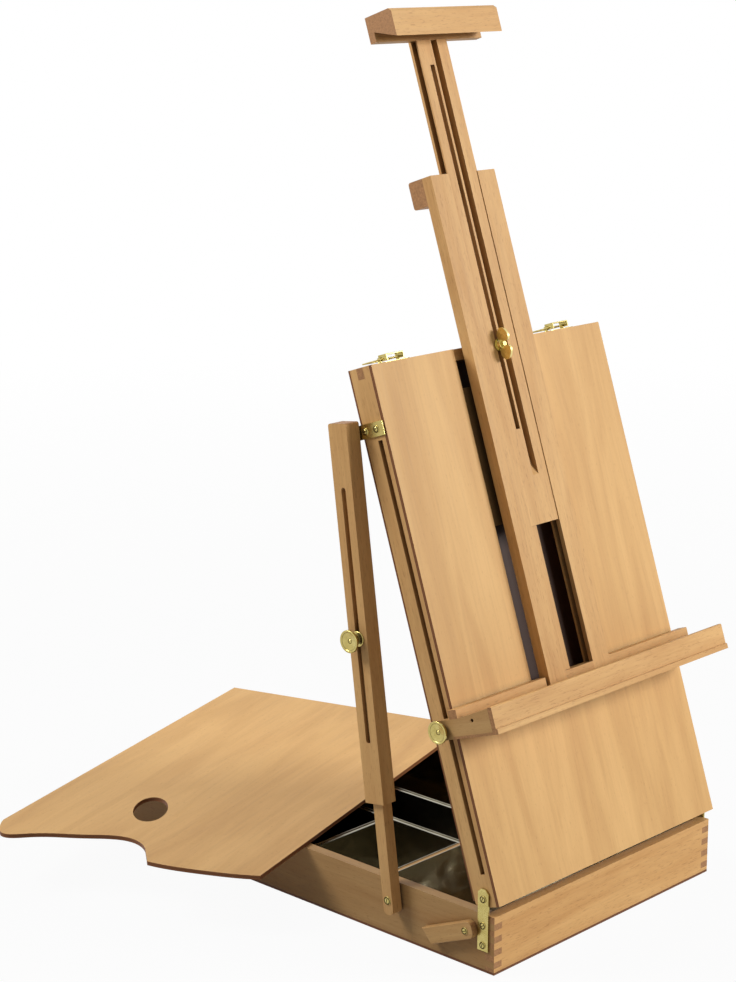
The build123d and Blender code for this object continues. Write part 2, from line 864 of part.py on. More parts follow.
def knob(axis_plane, disc_low):
    """A turned brass knob: base flange, neck and a dished disc. The plane is at its foot."""
    disc_high = disc_low + knob_thickness
    profile = Plane(origin=axis_plane.origin, x_dir=axis_plane.x_dir, z_dir=axis_plane.y_dir)
    with BuildSketch(profile) as half:
        with BuildLine():
            Polyline(
                (clamp_bolt_radius + running_gap, 0),
                (knob_flange_radius, 0),
                (knob_flange_radius, -knob_flange_thickness),
                (knob_neck_radius, -knob_flange_thickness - 0.6),
                (knob_neck_radius, -disc_low),
                (knob_radius - 0.8, -disc_low),
                (knob_radius, -disc_low - 0.8),
                (knob_radius, -disc_high + 0.8),
                (knob_radius - 0.8, -disc_high),
                (knob_radius - 2.6, -disc_high),
                (knob_radius - 5.0, -disc_high + knob_dish * 0.7),
                (0, -disc_high + knob_dish),
                (0, -disc_low - slide_gap),
                (clamp_bolt_radius + running_gap, -disc_low - slide_gap),
                close=True,
            )
        make_face()
    revolve(half.sketch, axis=Axis(axis_plane.origin, axis_plane.z_dir))


for side, name in ((-1, "shelf_knob_left"), (1, "shelf_knob_right")):
    centre = lid_side.origin + up * clamp_at[0] + forward * clamp_at[1]
    foot = Plane(
        origin=(side * knob_foot, centre.Y, centre.Z),
        x_dir=up,
        z_dir=(side, 0, 0),
    )
    with BuildPart() as shelf_knob:
        knob(foot, knob_depth)
    save(shelf_knob, name)

# Strut: depths count outwards from the box's left face
upper_inner = strut_side_gap
upper_outer = upper_inner + strut_upper_thickness
lower_outer = upper_outer - strut_web - slide_gap
lower_inner = lower_outer - strut_lower_thickness
upper_end = strut_length + strut_top_margin
strut_channel_end = strut_length - strut_solid_head
strut_slot_end = strut_channel_end - strut_slot_margin
channel_half = strut_lower_width / 2 + slide_gap

with BuildPart() as strut_upper:
    half = strut_upper_width / 2
    slab(strut_plane, (strut_upper_start, upper_end), (-half, half), (upper_inner, upper_outer))
    slab(
        strut_plane,
        (strut_upper_start, strut_channel_end),
        (-channel_half, channel_half),
        (upper_inner, lower_outer + slide_gap),
        Mode.SUBTRACT,
    )
    with BuildSketch(strut_plane.offset(upper_outer - strut_web - 1)) as slot:
        with Locations(((strut_slot_start + strut_slot_end) / 2, 0)):
            SlotOverall(strut_slot_end - strut_slot_start, strut_slot_width)
    extrude(slot.sketch, amount=strut_web + 2, mode=Mode.SUBTRACT)
    hole = pin_radius + running_gap
    pin_span = (upper_inner, upper_inner + pin_depth + 0.3)
    rod(strut_plane, (strut_length, 0), hole, pin_span, Mode.SUBTRACT)
    top_edges = strut_upper.edges().filter_by(Axis.X).sort_by(Axis.Z)[-2:]
    fillet(top_edges, 3)
save(strut_upper, "strut_upper")

strut_knob_depth = knob_flange_thickness + strut_knob_neck_length
bolt_end = upper_outer + slide_gap + strut_knob_depth
with BuildPart() as strut_lower:
    half = strut_lower_width / 2
    slab(
        strut_plane,
        (-strut_foot_margin, strut_lower_end),
        (-half, half),
        (lower_inner, lower_outer),
    )
    foot_edges = strut_lower.edges().filter_by(Axis.X).sort_by(Axis.Z)[:2]
    fillet(foot_edges, 6)
    rod(strut_plane, (0, 0), screw_radius, (lower_inner, lower_outer), Mode.SUBTRACT)
    rod(
        strut_plane,
        (strut_bolt_at, 0),
        clamp_bolt_radius,
        (lower_inner, lower_outer),
        Mode.SUBTRACT,
    )
save(strut_lower, "strut_lower")

with BuildPart() as strut_bolt:
    rod(strut_plane, (strut_bolt_at, 0), clamp_bolt_radius, (lower_inner, bolt_end))
save(strut_bolt, "strut_bolt")

with BuildPart() as strut_pivot_screw:
    rod(strut_plane, (0, 0), strut_shoulder_radius, (slide_gap, lower_inner))
    rod(strut_plane, (0, 0), screw_radius, (lower_inner, lower_outer))
    with BuildSketch(strut_plane.offset(lower_outer)) as head:
        Circle(strut_screw_head_radius)
    extrude(head.sketch, amount=screw_head_height, taper=20)
    slab(
        strut_plane,
        (-strut_screw_head_radius, strut_screw_head_radius),
        (-screw_slot / 2, screw_slot / 2),
        (lower_outer + screw_head_height - 0.6, lower_outer + screw_head_height),
        Mode.SUBTRACT,
    )
save(strut_pivot_screw, "strut_pivot_screw")

knob_centre = strut_plane.origin + strut_plane.x_dir * strut_bolt_at
strut_knob_foot = Plane(
    origin=(-half_width - upper_outer - slide_gap, knob_centre.Y, knob_centre.Z),
    x_dir=strut_plane.x_dir,
    z_dir=(-1, 0, 0),
)
with BuildPart() as strut_knob:
    knob(strut_knob_foot, strut_knob_depth)
save(strut_knob, "strut_knob")

# Strap that hangs the strut from the lid's left side
strap_back = -strut_top_setback - strap_overlap
strap_plane = lid_side.offset(-half_width)
with BuildPart() as strut_strap:
    slab(
        strap_plane,
        (strut_top_up_lid - strap_height / 2, strut_top_up_lid + strap_height / 2),
        (strap_back, -strap_front),
        (-strap_thickness + lid_side_gap, lid_side_gap),
    )
    for setback in strap_screw_setbacks:
        rod(
            strap_plane,
            (strut_top_up_lid, -setback),
            screw_radius,
            (-strap_thickness + lid_side_gap, lid_side_gap),
            Mode.SUBTRACT,
        )
    rod(
        strap_plane,
        (strut_top_up_lid, -strut_top_setback),
        pin_radius,
        (-upper_inner - pin_depth, -strap_thickness + lid_side_gap),
    )
save(strut_strap, "strut_strap")

# Draw latches on the lid's free end, and their keepers on the box's back wall
latch_plane = Plane(origin=lid_origin + up * lid_length, x_dir=(1, 0, 0), z_dir=up)
lever_top = latch_hinge_height + latch_lever_rise
lever_low = latch_hinge_height - latch_cheek_drop
lever_front = latch_hinge_setback - latch_lever_length
lever_back = latch_hinge_setback + latch_lever_tail
bail_half = latch_lever_width / 2 + latch_ear_thickness + 2 * slide_gap + latch_pin_radius


def latch_axis(centre, half, setback):
    """A plane at one end of a line across a latch, square to that line."""
    start = latch_plane.origin + latch_plane.x_dir * (centre - half)
    start = start + latch_plane.y_dir * setback + latch_plane.z_dir * latch_hinge_height
    return Plane(origin=start, x_dir=latch_plane.y_dir, z_dir=(1, 0, 0))


ear_low = latch_lever_width / 2 + slide_gap
ear_high = ear_low + latch_ear_thickness
with BuildPart() as latch_bases:
    for side in (-1, 1):
        centre = side * latch_x
        with BuildSketch(latch_plane) as outline:
            with Locations((centre, latch_setback)):
                SlotOverall(latch_plate_length, latch_plate_width)
        extrude(outline.sketch, amount=latch_plate_thickness)
        for end in (-1, 1):
            slab(
                latch_plane,
                sorted((centre + end * ear_low, centre + end * ear_high)),
                (latch_hinge_setback - latch_ear_half, latch_hinge_setback + latch_ear_half),
                (latch_plate_thickness, latch_hinge_height + latch_ear_half),
            )
            at = (centre + end * (latch_plate_length / 2 - rivet_margin), latch_setback)
            with BuildSketch(latch_plane.offset(latch_plate_thickness)) as rivet:
                with Locations(at):
                    Circle(rivet_radius)
            extrude(rivet.sketch, amount=rivet_height, taper=25)
        hinge_axis = latch_axis(centre, ear_high, latch_hinge_setback)
        rod(hinge_axis, (0, 0), latch_pin_radius, (0, 2 * ear_high))
save(latch_bases, "latch_bases")

for side, word in ((-1, "left"), (1, "right")):
    centre = side * latch_x
    hinge_axis = latch_axis(centre, ear_high, latch_hinge_setback)
    bail_axis = latch_axis(centre, bail_half, latch_hinge_setback - bail_pin_offset)
    with BuildPart() as latch_lever:
        low = centre - latch_lever_width / 2
        high = centre + latch_lever_width / 2
        reach = (lever_front, lever_back)
        slab(latch_plane, (low, high), reach, (lever_top - latch_lever_sheet, lever_top))
        for cheek in ((low, low + latch_lever_sheet), (high - latch_lever_sheet, high)):
            slab(latch_plane, cheek, reach, (lever_low, lever_top - latch_lever_sheet))
        rounded = latch_lever.edges().filter_by(Axis.X).sort_by(Axis(lid_origin, up))[-2:]
        fillet(rounded, latch_lever_sheet / 2)
        hole = latch_pin_radius + running_gap
        rod(hinge_axis, (0, 0), hole, (0, 2 * ear_high), Mode.SUBTRACT)
        rod(bail_axis, (0, 0), hole, (0, 2 * bail_half), Mode.SUBTRACT)
    save(latch_lever, f"latch_lever_{word}")

    bail_length = lid_total + bail_reach - latch_hinge_setback + bail_pin_offset
    with BuildPart() as latch_bail:
        rod(bail_axis, (0, 0), latch_pin_radius, (0, 2 * bail_half))
        rod(bail_axis, (bail_length, 0), latch_pin_radius, (0, 2 * bail_half))
        for edge in (0, 2 * bail_half):
            corner = bail_axis.origin + bail_axis.z_dir * edge
            leg = Plane(origin=corner, x_dir=(1, 0, 0), z_dir=latch_plane.y_dir)
            rod(leg, (0, 0), latch_pin_radius, (0, bail_length))
            with BuildSketch(Plane(origin=corner, x_dir=(1, 0, 0), z_dir=latch_plane.y_dir)):
                with BuildLine():
                    CenterArc((0, 0), latch_pin_radius, -90, 180)
                    Line((0, latch_pin_radius), (0, -latch_pin_radius))
                make_face()
            revolve(axis=Axis(corner, latch_plane.z_dir))
            far = corner + latch_plane.y_dir * bail_length
            with BuildSketch(Plane(origin=far, x_dir=(1, 0, 0), z_dir=latch_plane.y_dir)):
                with BuildLine():
                    CenterArc((0, 0), latch_pin_radius, -90, 180)
                    Line((0, latch_pin_radius), (0, -latch_pin_radius))
                make_face()
            revolve(axis=Axis(far, latch_plane.z_dir))
    save(latch_bail, f"latch_bail_{word}")

keeper_top = box_height - keeper_drop
back_face = Plane(origin=(0, half_depth, 0), x_dir=(-1, 0, 0), z_dir=(0, 1, 0))
with BuildPart() as latch_keepers:
    for side in (-1, 1):
        span = (side * latch_x - keeper_width / 2, side * latch_x + keeper_width / 2)
        rise = (keeper_top - keeper_height, keeper_top)
        slab(back_face, span, rise, (0, keeper_sheet))
        lip = (keeper_top - keeper_sheet, keeper_top)
        slab(back_face, span, lip, (keeper_sheet, keeper_depth))
        turned = (keeper_top - keeper_lip, keeper_top)
        slab(back_face, span, turned, (keeper_depth - keeper_sheet, keeper_depth))
save(latch_keepers, "latch_keepers")

# Turn button on the left wall, sloping down to the back at rest
button_plane = Plane(
    origin=(-half_width - button_gap, button_y - half_depth, button_z),
    x_dir=(0, cos(radians(button_slant)), -sin(radians(button_slant))),
    z_dir=(-1, 0, 0),
)
with BuildPart() as turn_button:
    half = button_width / 2
    outline = (
        (-button_tail, -half),
        (button_reach, -half),
        (button_reach - button_end_skew, half),
        (-button_tail, half),
    )
    prism(button_plane, outline, (0, button_thickness))
    front_edges = turn_button.edges().filter_by(Axis.X).sort_by(Axis.Y)[:2]
    fillet(front_edges, button_corner)
    fillet(turn_button.faces().sort_by(Axis.X)[0].edges(), 1.2)
    hole = screw_radius + running_gap
    rod(button_plane, (0, 0), hole, (0, button_thickness), Mode.SUBTRACT)
save(turn_button, "turn_button")

# Palette with a finger notch in its left edge and a thumb hole
palette_plane = Plane(
    origin=(palette_corner[0], palette_corner[1], box_height + palette_gap),
    x_dir=(cos(radians(palette_turn)), sin(radians(palette_turn)), 0),
    z_dir=(0, 0, 1),
)
with BuildPart() as palette:
    with BuildSketch(palette_plane) as outline:
        with BuildLine():
            front_corner = (palette_corner_cuts[0], 0)
            back_corner = (palette_corner_cuts[1], palette_width)
            Polyline(
                back_corner,
                (palette_length, palette_width),
                (palette_length, 0),
                front_corner,
            )
            Spline(
                front_corner,
                palette_front_bulge,
                palette_notch[0],
                tangents=((-0.4, 1), (0.1, 1)),
            )
            Line(palette_notch[0], palette_notch[1])
            Spline(*palette_notch[1:], back_corner, tangents=((1, 0.8), (1, 0.35)))
        make_face()
        with Locations(Location((*thumb_hole_at, 0), (0, 0, thumb_hole_turn))):
            Ellipse(*thumb_hole, mode=Mode.SUBTRACT)
    extrude(outline.sketch, amount=palette_thickness)
save(palette, "palette")
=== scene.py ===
"""Dresses the table box easel: oiled beech and plywood, brass, and tin tray liners.

Lengths are in metres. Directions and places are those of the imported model.
"""

import itertools
import json
import math

import bmesh
import bpy
from mathutils import Matrix, Vector


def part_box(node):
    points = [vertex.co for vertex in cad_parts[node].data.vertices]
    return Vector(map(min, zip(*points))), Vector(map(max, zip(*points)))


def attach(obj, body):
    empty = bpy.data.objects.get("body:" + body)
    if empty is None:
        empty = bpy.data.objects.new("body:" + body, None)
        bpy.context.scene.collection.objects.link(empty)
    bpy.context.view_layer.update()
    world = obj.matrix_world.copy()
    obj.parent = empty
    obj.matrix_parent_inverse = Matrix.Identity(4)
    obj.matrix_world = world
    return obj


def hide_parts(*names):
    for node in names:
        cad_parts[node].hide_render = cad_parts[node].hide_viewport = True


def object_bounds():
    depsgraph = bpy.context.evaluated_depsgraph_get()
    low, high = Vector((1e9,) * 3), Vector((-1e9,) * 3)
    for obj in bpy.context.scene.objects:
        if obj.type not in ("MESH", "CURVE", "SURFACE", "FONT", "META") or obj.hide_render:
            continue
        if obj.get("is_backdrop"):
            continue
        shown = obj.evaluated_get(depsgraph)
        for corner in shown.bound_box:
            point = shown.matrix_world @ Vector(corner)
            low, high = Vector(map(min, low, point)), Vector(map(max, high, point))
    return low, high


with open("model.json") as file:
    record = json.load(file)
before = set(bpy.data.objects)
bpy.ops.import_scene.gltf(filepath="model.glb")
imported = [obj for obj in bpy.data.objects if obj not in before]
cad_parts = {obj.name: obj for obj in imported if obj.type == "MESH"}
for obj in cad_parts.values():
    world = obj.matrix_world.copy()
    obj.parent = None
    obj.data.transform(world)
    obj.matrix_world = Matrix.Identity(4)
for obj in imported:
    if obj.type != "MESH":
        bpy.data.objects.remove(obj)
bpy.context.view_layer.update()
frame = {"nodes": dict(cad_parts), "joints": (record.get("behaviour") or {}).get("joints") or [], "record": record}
nodes = frame["nodes"]
joints = {j["name"]: j for j in frame["joints"]}

# Directions
LID_LEAN = math.radians(18.5)
STRUT_LEAN = math.radians(7.62)
PALETTE_TURN = math.radians(17)
ALONG_X = Vector((1, 0, 0))
ALONG_Y = Vector((0, 1, 0))
ALONG_Z = Vector((0, 0, 1))
LEFT = Vector((-1, 0, 0))
RIGHT = Vector((1, 0, 0))
UP = Vector((0, math.sin(LID_LEAN), math.cos(LID_LEAN)))
FORWARD = Vector((0, -math.cos(LID_LEAN), math.sin(LID_LEAN)))
STRUT_UP = Vector((0, math.sin(STRUT_LEAN), math.cos(STRUT_LEAN)))
BUTTON_ALONG = Vector((0, 0.9205, -0.3907))
PALETTE_ALONG = Vector((math.cos(PALETTE_TURN), math.sin(PALETTE_TURN), 0))
PALETTE_ACROSS = ALONG_Z.cross(PALETTE_ALONG)

# Places: the lower end of the lid's front face, and how far out three faces lie
LID_ORIGIN = Vector((0, -0.311191, 0.082546))
LID_FRONT = LID_ORIGIN.dot(FORWARD)
LID_INSIDE = LID_FRONT - 0.034
PALETTE_UNDERSIDE = 0.0682

WHITE = (1, 1, 1, 1)


def srgb(r, g, b):
    """A colour as it is seen on a screen, 0 to 255, as linear light."""
    def one(v):
        v = v / 255
        return v / 12.92 if v <= 0.04045 else ((v + 0.055) / 1.055) ** 2.4
    return (one(r), one(g), one(b), 1.0)


def shade(colour, k):
    """A colour made darker or lighter."""
    return (colour[0] * k, colour[1] * k, colour[2] * k, 1.0)


BEECH = srgb(215, 171, 112)
BEECH_DARK = srgb(194, 146, 90)
BEECH_END = srgb(164, 119, 78)
PLY = srgb(222, 178, 117)
PLY_DARK = srgb(206, 160, 102)
PLY_EDGE = srgb(128, 80, 46)

PLY_LAYERS = 3
# Along one pair of layers, from 0 to 1, how bright the plywood's edge is
EDGE_TONES = ((0.0, 0.55), (0.12, 1.0), (0.45, 1.15), (0.55, 0.6), (0.8, 0.8))

WOOD_SPECULAR = 0.22
# How far the painted shade in a groove or corner reaches, and how bright that shade is at its deepest
WOOD_HOLLOW_SHADE = (0.016, 0.34)
METAL_HOLLOW_SHADE = (0.003, 0.25)
# The colour and the samples of the painted shade in grooves and corners
HOLLOW_SHADE_TINT = (1.0, 0.92, 0.86)
HOLLOW_SHADE_SAMPLES = 4

# Every wood has a number, which moves its figure along these steps
BEECH_STEPS = (0.37, 0.91, 0.53)
PLY_STEPS = (0.41, 0.87, 0.29)
wood_numbers = itertools.count(1)


# Shader nodes


def material(name):
    """A new node material with its node tree and shader."""
    mat = bpy.data.materials.new(name)
    mat.use_nodes = True
    tree = mat.node_tree
    return mat, tree, tree.nodes["Principled BSDF"]


def feed(tree, socket, value):
    """Gives a socket a link from another one, or a constant value."""
    if isinstance(value, bpy.types.NodeSocket):
        tree.links.new(value, socket)
    else:
        socket.default_value = value


def ramp(tree, source, stops):
    """A colour ramp over a value, from (place, colour) stops."""
    made = tree.nodes.new("ShaderNodeValToRGB")
    while len(made.color_ramp.elements) < len(stops):
        made.color_ramp.elements.new(0.5)
    for element, (place, colour) in zip(made.color_ramp.elements, stops):
        element.position = place
        element.color = colour
    tree.links.new(source, made.inputs["Fac"])
    return made.outputs["Color"]


def mix(tree, kind, factor, a, b):
    """Two colours blended; factor, a and b are sockets or values."""
    made = tree.nodes.new("ShaderNodeMix")
    made.data_type = "RGBA"
    made.blend_type = kind
    feed(tree, made.inputs[0], factor)
    feed(tree, made.inputs[6], a)
    feed(tree, made.inputs[7], b)
    return made.outputs[2]


def maths(tree, operation, a, b=0.0, c=0.0):
    """One arithmetic step on sockets or numbers; only MULTIPLY_ADD uses c."""
    made = tree.nodes.new("ShaderNodeMath")
    made.operation = operation
    for socket, value in zip(made.inputs, (a, b, c)):
        feed(tree, socket, value)
    return made.outputs[0]


def along(tree, coordinates, direction):
    """How far a point or normal lies along a direction."""
    made = tree.nodes.new("ShaderNodeVectorMath")
    made.operation = "DOT_PRODUCT"
    tree.links.new(coordinates, made.inputs[0])
    made.inputs[1].default_value = direction
    return made.outputs["Value"]


def grain_space(tree, coordinates, grain, side, shift):
    """Coordinates whose Z follows the grain, moved so that each wood differs."""
    third = grain.cross(side).normalized()
    made = tree.nodes.new("ShaderNodeCombineXYZ")
    for socket, direction, offset in zip(made.inputs, (side, third, grain), shift):
        place = along(tree, coordinates, direction)
        tree.links.new(maths(tree, "ADD", place, offset), socket)
    return made.outputs[0]


def stretched(tree, coordinates, squeeze):
    """Coordinates squeezed along the grain, so that a pattern on them is drawn out."""
    made = tree.nodes.new("ShaderNodeMapping")
    made.inputs["Scale"].default_value = (1, 1, squeeze)
    tree.links.new(coordinates, made.inputs["Vector"])
    return made.outputs["Vector"]


def noise(tree, coordinates, scale, detail, roughness, distortion=0.0):
    """Noise on given coordinates, in features per metre."""
    made = tree.nodes.new("ShaderNodeTexNoise")
    tree.links.new(coordinates, made.inputs["Vector"])
    made.inputs["Scale"].default_value = scale
    made.inputs["Detail"].default_value = detail
    made.inputs["Roughness"].default_value = roughness
    made.inputs["Distortion"].default_value = distortion
    return made.outputs["Fac"]


def tinted(tree, colour, pattern, strength, dark, start, stop):
    """Darkens a colour where a pattern is below start, and leaves it above stop."""
    tint = ramp(tree, pattern, ((start, dark), (stop, WHITE)))
    return mix(tree, "MULTIPLY", strength, colour, tint)


def painted_hollow_shade(tree, colour, reach, depth):
    """Darkens a colour in grooves, corners and gaps, where little light comes in."""
    made = tree.nodes.new("ShaderNodeAmbientOcclusion")
    made.samples = HOLLOW_SHADE_SAMPLES
    made.inputs["Distance"].default_value = reach
    dark = shade(HOLLOW_SHADE_TINT, depth)
    return tinted(tree, colour, made.outputs["AO"], 1.0, dark, 0.12, 0.62)


def roughen(tree, shader, pattern, gain, base):
    """Roughness that goes from base up to base + gain with a pattern."""
    rough = maths(tree, "MULTIPLY_ADD", pattern, gain, base)
    tree.links.new(rough, shader.inputs["Roughness"])


def bump(tree, shader, height, strength, distance):
    """Lets a height pattern tilt the surface a little."""
    made = tree.nodes.new("ShaderNodeBump")
    made.inputs["Strength"].default_value = strength
    made.inputs["Distance"].default_value = distance
    tree.links.new(height, made.inputs["Height"])
    tree.links.new(made.outputs["Normal"], shader.inputs["Normal"])


# Materials


def new_wood(name, grain, side, steps):
    """A material with its coordinates and the space of its own figure."""
    number = next(wood_numbers)
    mat, tree, shader = material(name)
    coords = tree.nodes.new("ShaderNodeTexCoord")
    shift = [step * number for step in steps]
    space = grain_space(tree, coords.outputs["Object"], grain, side, shift)
    return mat, tree, shader, coords, space


def oil_and_shade(tree, shader, colour):
    """Puts the colour on a wood's shader, with painted shade in grooves and corners and a low shine."""
    colour = painted_hollow_shade(tree, colour, *WOOD_HOLLOW_SHADE)
    tree.links.new(colour, shader.inputs["Base Color"])
    shader.inputs["Specular IOR Level"].default_value = WOOD_SPECULAR


def wood(name, grain, side, tone_and_shade=1.0):
    """Oiled beech: drawn-out streaks, short dark flecks, and darker end grain."""
    mat, tree, shader, coords, space = new_wood(name, grain, side, BEECH_STEPS)
    broad = noise(tree, stretched(tree, space, 0.12), 34, 4, 0.6, 0.6)
    streaks = noise(tree, stretched(tree, space, 0.03), 330, 3, 0.6)
    flecks = noise(tree, stretched(tree, space, 0.12), 900, 2, 0.5)
    rings = noise(tree, space, 420, 3, 0.7)

    # This factor is partly the piece's own tone and partly painted light and shade
    long = ((0.3, shade(BEECH_DARK, tone_and_shade)), (0.68, shade(BEECH, tone_and_shade)))
    colour = ramp(tree, broad, long)
    colour = tinted(tree, colour, streaks, 0.4, (0.8, 0.75, 0.7, 1), 0.3, 0.55)
    colour = tinted(tree, colour, flecks, 0.5, (0.6, 0.5, 0.44, 1), 0.30, 0.40)

    facing = along(tree, coords.outputs["Normal"], grain)
    cut = maths(tree, "GREATER_THAN", maths(tree, "ABSOLUTE", facing), 0.8)
    end = ((0.3, shade(BEECH_END, 0.75)), (0.7, shade(BEECH_END, 1.25)))
    oil_and_shade(tree, shader, mix(tree, "MIX", cut, colour, ramp(tree, rings, end)))

    roughen(tree, shader, streaks, 0.25, 0.36)
    height = maths(tree, "ADD", maths(tree, "MULTIPLY", streaks, 0.7), flecks)
    bump(tree, shader, height, 0.25, 0.0004)
    return mat


def plywood(name, grain, across, normal, surface, thickness, tone_and_shade):
    """Plywood: a soft veneer figure on both faces and layered dark edges."""
    mat, tree, shader, coords, space = new_wood(name, grain, across, PLY_STEPS)
    clouds = noise(tree, stretched(tree, space, 0.3), 9, 3, 0.5, 0.4)
    broad = noise(tree, stretched(tree, space, 0.1), 30, 4, 0.6, 0.9)
    streaks = noise(tree, stretched(tree, space, 0.035), 260, 3, 0.6)
    flecks = noise(tree, stretched(tree, space, 0.2), 700, 2, 0.5)

    veneer = ((0.28, shade(PLY_DARK, tone_and_shade)), (0.62, shade(PLY, tone_and_shade)))
    colour = ramp(tree, broad, veneer)
    colour = tinted(tree, colour, clouds, 0.8, (0.88, 0.85, 0.81, 1), 0.3, 0.65)
    colour = tinted(tree, colour, streaks, 0.35, (0.82, 0.77, 0.72, 1), 0.28, 0.52)
    colour = tinted(tree, colour, flecks, 0.35, (0.66, 0.57, 0.5, 1), 0.28, 0.38)

    facing = maths(tree, "ABSOLUTE", along(tree, coords.outputs["Normal"], normal))
    cut = maths(tree, "LESS_THAN", facing, 0.6)
    height = along(tree, coords.outputs["Object"], normal)
    depth = maths(tree, "SUBTRACT", height, surface)
    pairs = maths(tree, "MULTIPLY", depth, PLY_LAYERS / thickness / 2)
    edge = [(place, shade(PLY_EDGE, bright)) for place, bright in EDGE_TONES]
    lined = ramp(tree, maths(tree, "FRACT", pairs), edge)
    oil_and_shade(tree, shader, mix(tree, "MIX", cut, colour, lined))

    roughen(tree, shader, streaks, 0.2, 0.4)
    bump(tree, shader, maths(tree, "ADD", streaks, flecks), 0.2, 0.0003)
    return mat


def metal(name, light, dark, roughness, grain=90.0, strength=0.1, distance=0.0002):
    """Bright metal with a slightly uneven tone and polish, and painted shade in grooves and corners."""
    mat, tree, shader = material(name)
    coords = tree.nodes.new("ShaderNodeTexCoord")
    cloud = noise(tree, coords.outputs["Object"], grain, 3, 0.6)
    fine = noise(tree, coords.outputs["Object"], 2200, 2, 0.5)
    colour = ramp(tree, cloud, ((0.3, dark), (0.7, light)))
    # Painted shade in the metal's grooves and corners
    colour = painted_hollow_shade(tree, colour, *METAL_HOLLOW_SHADE)
    tree.links.new(colour, shader.inputs["Base Color"])
    roughen(tree, shader, fine, 0.14, roughness)
    bump(tree, shader, cloud, strength, distance)
    shader.inputs["Metallic"].default_value = 1.0
    return mat


def shade_side(mat, direction, tint):
    """Paints shade on the faces that look along a direction, multiplying their colour by a dark tint."""
    tree = mat.node_tree
    target = tree.nodes["Principled BSDF"].inputs["Base Color"]
    plain = target.links[0].from_socket
    coords = tree.nodes.new("ShaderNodeTexCoord")
    facing = along(tree, coords.outputs["Normal"], direction)
    side_shade = ramp(tree, facing, ((0.4, WHITE), (0.6, tint)))
    tree.links.new(mix(tree, "MULTIPLY", 1.0, plain, side_shade), target)


def paint(name, mat):
    """Gives a carried-over node one material."""
    obj = nodes[name]
    obj.data.materials.clear()
    obj.data.materials.append(mat)


def soften(name, width):
    """Rounds a node's sharp edges a little, as sanding does."""
    bevel = nodes[name].modifiers.new("sanded", "BEVEL")
    bevel.width = width
    bevel.segments = 2
    bevel.limit_method = "ANGLE"
    bevel.angle_limit = math.radians(40)
    bevel.use_clamp_overlap = True


brass = metal("brass", srgb(206, 190, 122), srgb(178, 160, 92), 0.2)
tin = metal(
    "tin",
    srgb(190, 184, 166),
    srgb(136, 130, 112),
    0.1,
    grain=9.0,
    strength=0.7,
    distance=0.0055,
)
dark_brass = metal("darker_brass", srgb(112, 98, 56), srgb(84, 70, 40), 0.3)
pale = metal("pale_brass", srgb(240, 226, 160), srgb(222, 204, 132), 0.22)

# Solid wood: the grain's direction, one across it, and the tone, partly each piece's own and partly painted light
# and shade, as on the lighter box front and the darker box left wall, mast guides and mast runner
BEECH_SANDING = 0.0007
beech_nodes = {
    "box_front_wall": (ALONG_X, ALONG_Z, 1.12),
    "box_back_wall": (ALONG_X, ALONG_Z, 0.98),
    "box_left_wall": (ALONG_Y, ALONG_Z, 0.66),
    "box_right_wall": (ALONG_Y, ALONG_Z, 0.85),
    "front_divider": (ALONG_X, ALONG_Z, 0.9),
    "lid_left_rail": (UP, ALONG_X, 1.0),
    "lid_right_rail": (UP, ALONG_X, 1.0),
    "lid_bottom_rail": (ALONG_X, UP, 0.95),
    "lid_top_rail": (ALONG_X, UP, 1.0),
    "mast_guides": (UP, ALONG_X, 0.5),
    "mast_left_rail": (UP, ALONG_X, 1.0),
    "mast_right_rail": (UP, ALONG_X, 1.0),
    "mast_foot_block": (ALONG_X, UP, 0.96),
    "mast_heel": (ALONG_X, UP, 0.98),
    "mast_runner": (UP, ALONG_X, 0.4),
    "head_block": (ALONG_X, UP, 1.03),
    "head_strip": (ALONG_X, UP, 0.92),
    "shelf_board": (ALONG_X, UP, 1.0),
    "shelf_front_lip": (ALONG_X, UP, 1.03),
    "shelf_back_bars": (ALONG_X, UP, 1.0),
    "shelf_left_arm": (FORWARD, UP, 0.8),
    "shelf_right_arm": (FORWARD, UP, 0.85),
    "strut_upper": (STRUT_UP, ALONG_X, 0.98),
    "strut_lower": (STRUT_UP, ALONG_X, 0.94),
    "turn_button": (BUTTON_ALONG, ALONG_X, 0.85),
}
for name, (grain, side, tone_and_shade) in beech_nodes.items():
    paint(name, wood(f"beech_{name}", grain, side, tone_and_shade))
    soften(name, BEECH_SANDING)

# The strips and blocks of the upper mast are glued into one stick with one figure
stick = wood("beech_upper_mast", UP, ALONG_X)
for name in ("upper_mast_left_strip", "upper_mast_right_strip", "upper_mast_blocks"):
    paint(name, stick)

# Plywood: grain, across it, the sheet's normal, the place of a face, thickness, tone
PLY_SANDING = 0.0005
ply_nodes = {
    "box_bottom": (ALONG_Y, ALONG_X, ALONG_Z, 0.0, 0.004, 0.9),
    "lid_plywood": (UP, ALONG_X, FORWARD, LID_FRONT, 0.004, 1.0),
    "lid_back_panel": (UP, ALONG_X, FORWARD, LID_INSIDE, 0.0025, 0.8),
    "palette": (
        PALETTE_ALONG, PALETTE_ACROSS, ALONG_Z, PALETTE_UNDERSIDE, 0.005, 1.0,
    ),
}
for name, sheet in ply_nodes.items():
    paint(name, plywood(f"plywood_{name}", *sheet))
    soften(name, PLY_SANDING)

# The lid's inside, which shows through the slot, gets painted shade and is darker than its outside
shade_side(nodes["lid_back_panel"].data.materials[0], FORWARD, (0.07, 0.036, 0.02, 1))

slot_metals = {"brass": brass, "tinplate": tin}
for item in frame["record"]["subparts"]:
    if item["material_slot"] in slot_metals:
        paint(item["node"], slot_metals[item["material_slot"]])
for name in ("left_divider", "right_divider", "short_divider"):
    paint(name, tin)
paint("wing_nut", pale)


# Round brass pieces, as turned on a lathe

LATHE_STEPS = 64
KNOB_FLANGE = 0.0016
KNOB_DISC = 0.0034
KNOB_ROUNDING = 0.00025
